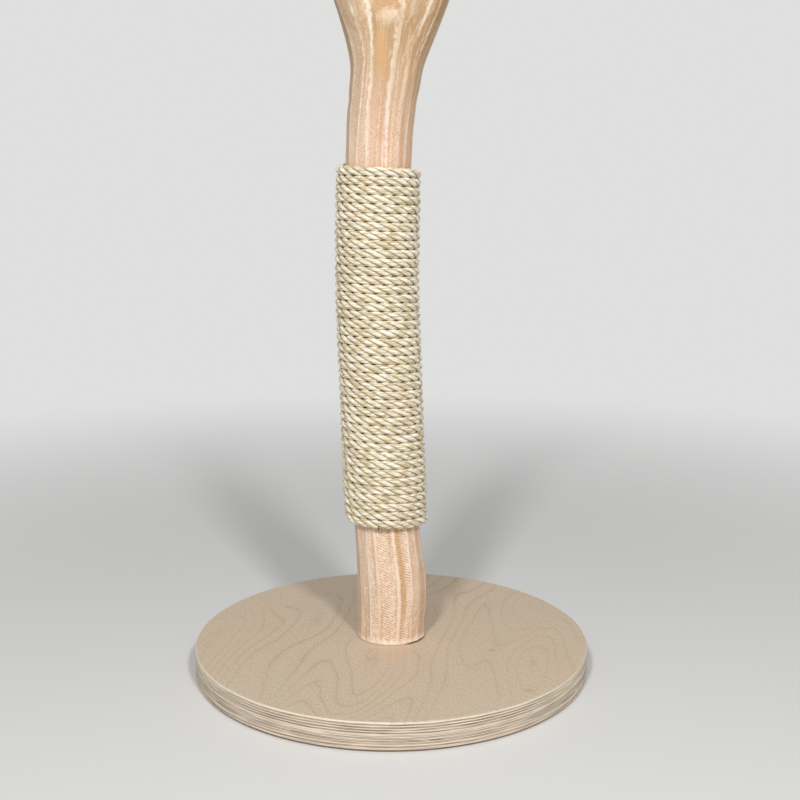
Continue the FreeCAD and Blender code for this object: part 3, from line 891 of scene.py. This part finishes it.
@dataclass
class Studio:
    """The camera, two soft lamps in front and a pale round floor that fades into the background."""

    camera_place: Triple = (0.0099, -1.3006, 0.5521)
    camera_pitch: float = math.radians(79.5)
    camera_lens: float = 53.15
    sensor_width: float = 36.0
    lamp_size: float = 0.36
    lamp_power: float = 35.5
    lamp_places: tuple[Triple, ...] = ((-0.60, -2.20, 2.10), (0.78, -2.20, 2.10))
    lamp_target: Triple = (0.0, 0.0, 0.30)
    ambient: Colour = (0.28, 0.28, 0.28)
    paper: Colour = (0.80, 0.80, 0.79)
    paper_shade: Colour = (0.72, 0.72, 0.71)
    paper_roughness: float = 0.9
    background: Colour = (0.74, 0.74, 0.735)
    floor_radius: float = 30.0
    floor_sides: int = 128
    fade_from: float = 0.35
    fade_to: float = 1.9

    def place_camera(self) -> None:
        """Sets up the camera at the photograph's viewing angle."""
        data = bpy.data.cameras.new("camera")
        data.lens = self.camera_lens
        data.sensor_width = self.sensor_width
        camera = object_from(data, "camera")
        camera.location = self.camera_place
        camera.rotation_euler = (self.camera_pitch, 0.0, 0.0)
        bpy.context.scene.camera = camera

    def light(self) -> None:
        """Sets up the lamps and the even light all round."""
        for number, place in enumerate(self.lamp_places):
            data = bpy.data.lights.new(f"lamp_{number + 1}", "AREA")
            data.shape = "DISK"
            data.size = self.lamp_size
            data.energy = self.lamp_power
            lamp = object_from(data, data.name)
            lamp.location = place
            aim = Vector(self.lamp_target) - Vector(place)
            lamp.rotation_euler = aim.to_track_quat("-Z", "Y").to_euler()
        world = bpy.data.worlds.new("soft_light")
        shader = Shader(world)
        sky = shader.mix(shader.seen(), self.ambient, self.background)
        shader.put(shader.nodes["Background"].inputs["Color"], sky)
        bpy.context.scene.world = world
        bpy.context.scene.view_settings.view_transform = "Standard"

    def lay_floor(self) -> None:
        """Makes the floor, which the camera sees fade into the background far from the post."""
        form = bmesh.new()
        bmesh.ops.create_circle(form, cap_ends=True, segments=self.floor_sides, radius=self.floor_radius)
        mesh = bpy.data.meshes.new("studio_floor")
        form.to_mesh(mesh)
        form.free()
        floor = object_from(mesh, "studio_floor")
        shader = Shader.named("studio_paper")
        place = shader.place()
        mottle = shader.noise(place, (6.0, 6.0, 6.0), 2.0)
        paper = shader.wash(self.paper, self.paper_shade, mottle, 0.2)
        dress(floor, shader.finish(paper, self.paper_roughness))
        away = shader.vector("LENGTH", place)
        far = shader.times(shader.seen(), shader.step(away, self.fade_from, self.fade_to))
        shader.cover(far, shader.add("Emission", {"Color": self.background}).outputs[0])


@dataclass
class PlywoodBase:
    """The round base and the felt glides under it."""

    plate: bpy.types.Object
    glides: list[bpy.types.Object]

    def dress(self) -> None:
        """Gives the plate its veneer and plies, and the glides their felt."""
        low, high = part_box("base_plate")
        finish = BirchPlywood(thickness=high.z - low.z, underside=low.z, radius=high.x)
        dress(self.plate, finish.material())
        felt = PressedFelt().material()
        for glide in self.glides:
            dress(glide, felt)


@dataclass
class Section:
    """The box of one level slice of the log or of one arm."""

    left: float = math.inf
    right: float = -math.inf
    front: float = math.inf
    back: float = -math.inf

    @property
    def width(self) -> float:
        """How wide it is."""
        return self.right - self.left

    @property
    def depth(self) -> float:
        """How deep it is, front to back."""
        return self.back - self.front

    @property
    def middle(self) -> tuple[float, float]:
        """Its middle, across and front to back."""
        return (self.left + self.right) / 2, (self.front + self.back) / 2

    def take(self, place: Vector) -> None:
        """Widens the box to hold a point.

        Args:
            place: the point.
        """
        self.left = min(self.left, place.x)
        self.right = max(self.right, place.x)
        self.front = min(self.front, place.y)
        self.back = max(self.back, place.y)

    def within(self, place: Vector) -> tuple[float, float]:
        """Finds where a point lies in the box.

        Args:
            place: the point.

        Returns:
            The place from -1 to 1 across the box, and from -1 to 1 front to back.
        """
        x = (2 * place.x - self.left - self.right) / max(self.width, MM)
        y = (2 * place.y - self.front - self.back) / max(self.depth, MM)
        return x, y


@dataclass
class Facets:
    """The long facets that peeling leaves round the log, as angles that drift with height."""

    count: int = 15
    jitter: float = 0.24
    drift: float = 0.10
    drift_spread: float = 3.7
    drift_pace: float = 0.016
    level_height: float = 2 * MM
    seed: int = 5
    tones: list[float] = field(default_factory=list)
    starts: list[float] = field(default_factory=list)
    levels: dict[int, list[float]] = field(default_factory=dict)

    def __post_init__(self) -> None:
        """Chooses where the ridges start and each facet's tone."""
        chance = random.Random(self.seed)
        width = math.tau / self.count
        for number in range(self.count):
            self.starts.append((number + chance.uniform(-self.jitter, self.jitter)) * width - math.pi)
            self.tones.append(chance.random())

    def ridges(self, height: float) -> list[float]:
        """Finds the ridges at a height.

        Args:
            height: the height.

        Returns:
            Their angles in rising order.
        """
        level = round(height / self.level_height)
        if level not in self.levels:
            pace = level * self.drift_pace
            self.levels[level] = [
                start + self.drift * noise.noise(Vector((number * self.drift_spread, pace, self.seed)))
                for number, start in enumerate(self.starts)
            ]
        return self.levels[level]

    def at(self, angle: float, height: float) -> tuple[float, float, float]:
        """Finds the facet at a place.

        Args:
            angle: the angle round the log, from -pi to pi.
            height: the height.

        Returns:
            The place across the facet from -1 to 1, half its width as an angle, and its tone.
        """
        ridges = self.ridges(height)
        number = (bisect_right(ridges, angle) - 1) % self.count
        low = ridges[number]
        high = ridges[(number + 1) % self.count]
        if high < low:
            high += math.tau
        if angle < low:
            angle += math.tau
        half = (high - low) / 2
        return (angle - low - half) / half, half, self.tones[number]


@dataclass
class ForkedLog:
    """The peeled log: a fine mesh of its solid, with peeled facets and a rounded crotch."""

    node: bpy.types.Object
    record: dict
    voxel: float = 1.95 * MM
    merge_gap: float = 0.002 * MM
    slice_height: float = 5 * MM
    facets: Facets = field(default_factory=Facets)
    crotch_low: float = 0.630
    crotch_high: float = 0.860
    crotch_rounds: int = 90
    crotch_fill: float = 1.2 * MM
    crotch_fade: float = 20 * MM
    even_low: float = 0.590
    even_high: float = 0.860
    even_reach: int = 12
    even_fade: float = 30 * MM
    stem_radius: float = 0.0365
    facet_hollow: float = 1.25
    ridge_from: float = 0.62
    ridge_width: float = 0.36
    dent: float = 0.35 * MM
    dent_stretch: Triple = (2.2, 2.2, 24.0)
    foot_fade: float = 4 * MM
    end_flatness: float = 0.8
    seam_width: float = 0.5
    split_x: float = -0.003
    split_height: float = 0.769
    merge_height: float = 40 * MM
    knots: tuple = (
        ((-0.0175, -0.016, 0.643), 0.8 * MM),
        ((0.0300, -0.014, 0.118), 0.7 * MM),
        ((0.0100, 0.060, 0.690), 2.6 * MM),
        ((-0.0900, -0.020, 0.860), 1.7 * MM),
        ((0.1200, 0.020, 0.820), 1.5 * MM),
    )

    def build(self) -> bpy.types.Object:
        """Builds the log.

        Returns:
            Its object, which stands for the CAD node.
        """
        self.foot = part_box("forked_log")[0].z
        skin = self.merged_copy()
        self.tree = BVHTree.FromBMesh(skin)
        form = self.remeshed(skin)
        skin.free()
        self.round_crotch(form)
        self.measure(form)
        self.even_depth(form)
        self.measure(form)
        self.carve(form)
        mesh = bpy.data.meshes.new("peeled_log")
        smooth_mesh_from(form, mesh)
        piece = object_from(mesh, "peeled_log")
        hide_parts("forked_log")
        piths = [Vector(mount["pos_m"]) for mount in self.mounts()]
        knots = [(self.on_skin(Vector(place)), radius) for place, radius in self.knots]
        return settle(piece, PeeledWood(foot=self.foot).material(piths, knots))

    def mounts(self) -> list[dict]:
        """The record's mounts on the sawn ends of the arms."""
        return [mount for mount in self.record["mounts"] if mount["name"].endswith("arm_end")]

    def on_skin(self, place: Vector) -> Vector:
        """The point of the log's surface nearest to a place."""
        return self.tree.find_nearest(place)[0]

    def merged_copy(self) -> bmesh.types.BMesh:
        """Copies the node's mesh and merges its loose triangles.

        Returns:
            The copy.
        """
        form = bmesh.new()
        form.from_mesh(self.node.data)
        bmesh.ops.remove_doubles(form, verts=form.verts, dist=self.merge_gap)
        return form

    def remeshed(self, skin: bmesh.types.BMesh) -> bmesh.types.BMesh:
        """Makes an even mesh of small squares over the log's surface.

        Args:
            skin: the merged copy of the CAD mesh.

        Returns:
            The even mesh.
        """
        mesh = bpy.data.meshes.new("log_skin")
        skin.to_mesh(mesh)
        holder = object_from(mesh, "log_skin")
        remesh = holder.modifiers.new("even", "REMESH")
        remesh.mode = "VOXEL"
        remesh.voxel_size = self.voxel
        remesh.adaptivity = 0.0
        evaluated = holder.evaluated_get(bpy.context.evaluated_depsgraph_get())
        even = bpy.data.meshes.new_from_object(evaluated)
        form = bmesh.new()
        form.from_mesh(even)
        bpy.data.objects.remove(holder)
        bpy.data.meshes.remove(mesh)
        bpy.data.meshes.remove(even)
        for vert in form.verts:
            place = self.tree.find_nearest(vert.co)[0]
            if place is not None and (place - vert.co).length < self.voxel:
                vert.co = place
        return form

    def round_crotch(self, form: bmesh.types.BMesh) -> None:
        """Smooths the creases where the arms part.

        Args:
            form: the log's mesh.
        """
        verts = [vert for vert in form.verts if self.crotch_low < vert.co.z < self.crotch_high]
        axes = {f"use_axis_{axis}": True for axis in "xyz"}
        for _ in range(self.crotch_rounds):
            bmesh.ops.smooth_vert(form, verts=verts, factor=0.5, **axes)
        form.normal_update()
        for vert in verts:
            from_ends = min(vert.co.z - self.crotch_low, self.crotch_high - vert.co.z)
            vert.co += vert.normal * self.crotch_fill * clamped(from_ends / self.crotch_fade)

    def measure(self, form: bmesh.types.BMesh) -> None:
        """Measures the level slices of the stem and of each arm.

        Args:
            form: the log's mesh.
        """
        self.slices: dict[tuple[int, int], Section] = {}
        for vert in form.verts:
            level = round(vert.co.z / self.slice_height)
            for limb in {0, self.limb(vert.co)}:
                self.slices.setdefault((limb, level), Section()).take(vert.co)

    def even_depth(self, form: bmesh.types.BMesh) -> None:
        """Evens out how deep the log is, front to back, where the arms leave it.

        Args:
            form: the log's mesh.
        """
        depths = {level: box.depth for (limb, level), box in self.slices.items() if limb == 0}
        for vert in form.verts:
            inside = min(vert.co.z - self.even_low, self.even_high - vert.co.z) / self.even_fade
            if inside <= 0:
                continue
            level = vert.co.z / self.slice_height
            near = [depths[other] for other in depths if abs(other - level) <= self.even_reach]
            box = self.section(0, vert.co.z)
            change = sum(near) / len(near) / box.depth - 1
            vert.co.y += (vert.co.y - box.middle[1]) * change * min(1.0, inside)

    def around(self, place: Vector) -> tuple[float, float]:
        """Finds where a point lies round the log, on the arms as if on the stem.

        Args:
            place: the point.

        Returns:
            The place across the log and front to back, each from -1 to 1.
        """
        x, y = self.section(0, place.z).within(place)
        limb = self.limb(place)
        if limb:
            own_x, own_y = self.section(limb, place.z).within(place)
            share = min(1.0, (place.z - self.split_height) / self.merge_height)
            x += (0.5 * (limb + own_x) - x) * share
            y += (own_y - y) * share
        return x, y

    def limb(self, place: Vector) -> int:
        """Tells on which limb a point lies.

        Args:
            place: the point.

        Returns:
            0 for the stem, -1 for the left arm or 1 for the right arm.
        """
        if place.z < self.split_height:
            return 0
        return -1 if place.x < self.split_x else 1

    def section(self, limb: int, height: float) -> Section:
        """Finds the slice of a limb at a height, between the two measured ones.

        Args:
            limb: 0, -1 or 1, as limb() says.
            height: the height.

        Returns:
            The slice.
        """
        level = height / self.slice_height
        low = math.floor(level)
        share = level - low
        below = self.slices.get((limb, low)) or self.slices.get((limb, low + 1))
        above = self.slices.get((limb, low + 1)) or below
        return Section(
            left=below.left + (above.left - below.left) * share,
            right=below.right + (above.right - below.right) * share,
            front=below.front + (above.front - below.front) * share,
            back=below.back + (above.back - below.back) * share,
        )

    def seam(self, place: Vector) -> float:
        """Finds how freely the facets may be cut, less so where an arm faces the other.

        Args:
            place: the point.

        Returns:
            A share from 0 to 1.
        """
        limb = self.limb(place)
        if not limb:
            return 1.0
        own_x, own_y = self.section(limb, place.z).within(place)
        return min(1.0, abs(math.atan2(own_y, -limb * own_x)) / self.seam_width)

    def carve(self, form: bmesh.types.BMesh) -> None:
        """Cuts the facets and dents inwards, and notes the grain on every vertex.

        Args:
            form: the log's mesh.
        """
        grain_layer = form.verts.layers.float_vector.new("grain")
        facet_layer = form.verts.layers.float_vector.new("facet")
        ridge_layer = form.verts.layers.float.new("ridge")
        wide, deep, tall = self.dent_stretch
        form.normal_update()
        for vert in form.verts:
            seam = self.seam(vert.co)
            x, y = self.around(vert.co)
            across, half, tone = self.facets.at(math.atan2(y, x), vert.co.z)
            ridge = clamped((abs(across) - self.ridge_from) / self.ridge_width)
            vert[grain_layer] = (self.stem_radius * x, self.stem_radius * y, vert.co.z)
            vert[facet_layer] = (across * half * self.stem_radius, vert.co.z, tone)
            vert[ridge_layer] = ridge * ridge * (3 - 2 * ridge)
            flat = abs(vert.normal.z)
            if flat > self.end_flatness:
                continue
            hollow = self.stem_radius * (1 - math.cos(half)) * (1 - across * across) * self.facet_hollow
            dents = 0.5 + 0.5 * noise.noise(Vector((x * wide, y * deep, vert.co.z * tall)))
            fade = clamped((vert.co.z - self.foot) / self.foot_fade)
            vert.co -= vert.normal * (hollow * seam + dents * self.dent) * fade * (1 - flat)


@dataclass
class SisalWinding:
    """The three-strand rope wound round the log, with its stray fibres."""

    skin: BVHTree
    bottom: float
    diameter: float = 9.5 * MM
    turn_gap: float = 0.13 * MM
    log_gap: float = 0.3 * MM
    turns: float = 40.67
    low_height: float = 141.3 * MM
    low_angle: float = math.radians(20)
    steps_per_turn: int = 76
    strand_count: int = 3
    strand_size: float = 1.20
    squeeze: float = 1.06
    wander: float = 0.25 * MM
    wander_pace: float = 21.0
    lay: float = 39 * MM
    bevel_rings: int = 3
    swell: float = 0.6
    swell_pace: float = 90.0
    swell_spread: float = 9.1
    lump: float = 0.7
    lump_pace: float = 420.0
    lump_spread: float = 5.0
    roughness: float = 0.09
    strand_shift: float = 0.37
    crease_shade_scale: float = 1.6
    stray_count: int = 2200
    stray_radius: float = 0.085 * MM
    stray_pieces: int = 4
    stray_root: float = 0.45
    stray_lengths: tuple[float, float] = (4.0, 13.0)
    stray_lifts: tuple[float, float] = (0.05, 0.42)
    stray_lean: float = 1.0
    stray_side: float = 0.5
    stray_droop: float = 0.45
    stray_sag: float = 1.5
    stray_taper: float = 0.5
    log_axis: tuple[float, float] = (-0.008, 0.008)
    seed: int = 11

    @property
    def strand_radius(self) -> float:
        """The radius of three round strands that just fill the rope."""
        return self.diameter / 2 / (1 + 2 / math.sqrt(3))

    @property
    def strand_offset(self) -> float:
        """How far a strand's middle lies from the rope's."""
        return self.diameter / 2 - self.strand_radius

    def build(self) -> list[bpy.types.Object]:
        """Builds the strands and the stray fibres.

        Returns:
            Their objects. The strands stand for the CAD node.
        """
        self.lay_route()
        finish = SisalFibre()
        material = finish.material()
        strands = [self.strand(number) for number in range(self.strand_count)]
        for strand in strands:
            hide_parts("sisal_rope")
            settle(strand, material)
        stray = settle(self.stray_fibres(), finish.stray_material())
        return strands + [stray]

    def log_section(self, height: float) -> Section:
        """Finds the log's slice at a height by four rays from inside it.

        Args:
            height: the height.

        Returns:
            The slice.
        """
        middle = self.log_axis
        for _ in range(2):
            section = Section()
            for direction in ((1, 0, 0), (-1, 0, 0), (0, 1, 0), (0, -1, 0)):
                section.take(self.skin.ray_cast(Vector((*middle, height)), Vector(direction))[0])
            middle = section.middle
        return section

    def lay_route(self) -> None:
        """Works out the rope's middle line, its outward side and its length so far at each step."""
        steps = round(self.turns * self.steps_per_turn)
        pitch = self.diameter + self.turn_gap
        reach = self.diameter / 2 + self.log_gap
        self.points: list[Vector] = []
        self.outward: list[Vector] = []
        for step in range(steps + 1):
            turn = self.turns * step / steps
            height = self.bottom + self.low_height + pitch * turn
            angle = self.low_angle - math.tau * turn
            box = self.log_section(height)
            wide = box.width / 2 + reach
            deep = box.depth / 2 + reach
            spoke = Vector((wide * math.cos(angle), deep * math.sin(angle), 0.0))
            self.points.append(Vector((*box.middle, height)) + spoke)
            self.outward.append(Vector((deep * math.cos(angle), wide * math.sin(angle), 0.0)).normalized())
        self.travel = [0.0]
        for before, after in zip(self.points, self.points[1:]):
            self.travel.append(self.travel[-1] + (after - before).length)

    def tangent(self, step: int) -> Vector:
        """The rope's direction at a step."""
        last = len(self.points) - 1
        return (self.points[min(step + 1, last)] - self.points[max(step - 1, 0)]).normalized()

    def strand(self, number: int) -> bpy.types.Object:
        """Builds one strand as a tube that twists round the rope's middle line.

        Args:
            number: which strand.

        Returns:
            Its object.
        """
        places = []
        for step, point in enumerate(self.points):
            turn = math.tau * (self.travel[step] / self.lay + number / self.strand_count)
            out = self.outward[step]
            up = self.tangent(step).cross(out)
            stray = up * noise.noise(point * self.wander_pace) * self.wander
            spoke = out * math.cos(turn) + up * math.sin(turn) * self.squeeze
            places.append(point + stray + spoke * self.strand_offset)
        name = f"sisal_strand_{number + 1}"
        curve = tube_curve(name, self.strand_radius * self.strand_size, self.bevel_rings)
        add_line(curve, places)
        mesh = mesh_of(curve)
        self.roughen(mesh, places, number)
        return object_from(mesh, name)

    def roughen(self, mesh: bpy.types.Mesh, places: list[Vector], number: int) -> None:
        """Makes a strand uneven, closes its ends and notes its fibres' direction.

        Args:
            mesh: the strand's mesh, ring after ring.
            places: the middle of each ring.
            number: which strand.
        """
        sides = 4 + 2 * self.bevel_rings
        form = bmesh.new()
        form.from_mesh(mesh)
        fibre_layer = form.verts.layers.float_vector.new("fibre")
        shade_depth_layer = form.verts.layers.float.new("depth")
        radius = self.strand_radius
        twist = math.tan(math.tau * self.strand_offset / self.lay) / radius
        form.verts.ensure_lookup_table()
        for index, vert in enumerate(form.verts):
            step = min(index // sides, len(places) - 1)
            middle = places[step]
            travel = self.travel[step]
            swell = noise.noise(Vector((travel * self.swell_pace, number * self.swell_spread, 0.0)))
            lump = noise.noise(vert.co * self.lump_pace + Vector((number * self.lump_spread, 0.0, 0.0)))
            uneven = self.roughness * (self.swell * swell + self.lump * lump)
            vert.co = middle + (vert.co - middle) * (1 + uneven)
            turn = math.tau * (index % sides) / sides + twist * travel
            along = travel + number * self.strand_shift
            vert[fibre_layer] = (radius * math.cos(turn), radius * math.sin(turn), along)
            # The depth attribute runs from 0 at the rope's outside to 1 deep in the creases; it drives the
            # rope's painted shade.
            away = (vert.co - self.points[step]).length / (self.diameter / 2)
            vert[shade_depth_layer] = clamped((1.0 - away) * self.crease_shade_scale)
        bmesh.ops.holes_fill(form, edges=[edge for edge in form.edges if edge.is_boundary])
        bmesh.ops.recalc_face_normals(form, faces=form.faces)
        smooth_mesh_from(form, mesh)

    def stray_fibres(self) -> bpy.types.Object:
        """Builds the fibres that stand off the rope.

        Returns:
            Their object.
        """
        chance = random.Random(self.seed)
        curve = tube_curve("sisal_stray_fibres", self.stray_radius, 0)
        for _ in range(self.stray_count):
            step = chance.randrange(self.stray_pieces, len(self.points) - self.stray_pieces)
            out = self.outward[step]
            along = self.tangent(step) * chance.choice((-1, 1))
            up = along.cross(out)
            lean = chance.uniform(-self.stray_lean, self.stray_lean)
            spoke = out * math.cos(lean) + up * math.sin(lean)
            root = self.points[step] + spoke * self.diameter * self.stray_root
            away = spoke.normalized()
            side = chance.uniform(-self.stray_side, self.stray_side)
            length = chance.uniform(*self.stray_lengths) * MM
            lift = chance.uniform(*self.stray_lifts)
            places = []
            for number in range(self.stray_pieces + 1):
                share = number / self.stray_pieces
                place = root + along * length * share + up * length * side * share * share
                rise = share - self.stray_droop * share * share
                sag = out * (length**2) * share * self.stray_sag
                places.append(place + away * length * lift * rise - sag)
            for number, knot in enumerate(add_line(curve, places).points):
                knot.radius = 1.0 - self.stray_taper * number / self.stray_pieces
        return object_from(mesh_of(curve), "sisal_stray_fibres")


@dataclass
class Fixings:
    """The screws, the washer and the staples."""

    screws: list[bpy.types.Object]
    staples: list[bpy.types.Object]
    # The staples' wire colours are painted shade: dark, as the staples look down in the rope.
    shaded_wire_light: Colour = (0.20, 0.19, 0.18)
    shaded_wire_dark: Colour = (0.09, 0.085, 0.08)

    def dress(self) -> None:
        """Gives the screws and the washer their zinc plating, and the staples a wire painted dark as shade.
        """
        zinc = ZincSteel("zinc_steel").material()
        for node in self.screws:
            dress(node, zinc)
        # Painted shade: the staples get a much darker wire than the screws.
        wire = ZincSteel("staple_wire", light=self.shaded_wire_light, dull=self.shaded_wire_dark).material()
        for node in self.staples:
            dress(node, wire)


# ---- the post ----------------------------------------------------------------------------------


def main() -> None:
    """Builds the studio and the post."""
    logging.basicConfig(level=logging.INFO, format="%(message)s")
    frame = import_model()
    nodes = frame["nodes"]

    studio = Studio()
    studio.place_camera()
    studio.light()
    studio.lay_floor()

    glides = [node for name, node in nodes.items() if name.startswith("felt_glide")]
    PlywoodBase(nodes["base_plate"], glides).dress()
    LOG.info("base and %d glides dressed", len(glides))
    screws = [node for name, node in nodes.items() if "screw" in name or "washer" in name]
    staples = [node for name, node in nodes.items() if "staple" in name]
    Fixings(screws, staples).dress()
    LOG.info("%d fixings dressed", len(screws) + len(staples))

    log = ForkedLog(nodes["forked_log"], frame["record"])
    piece = log.build()
    LOG.info("%s: %d faces", piece.name, len(piece.data.polygons))
    winding = SisalWinding(log.tree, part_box("base_plate")[1].z)
    for piece in winding.build():
        LOG.info("%s: %d faces", piece.name, len(piece.data.polygons))


if __name__ == "__main__":
    main()
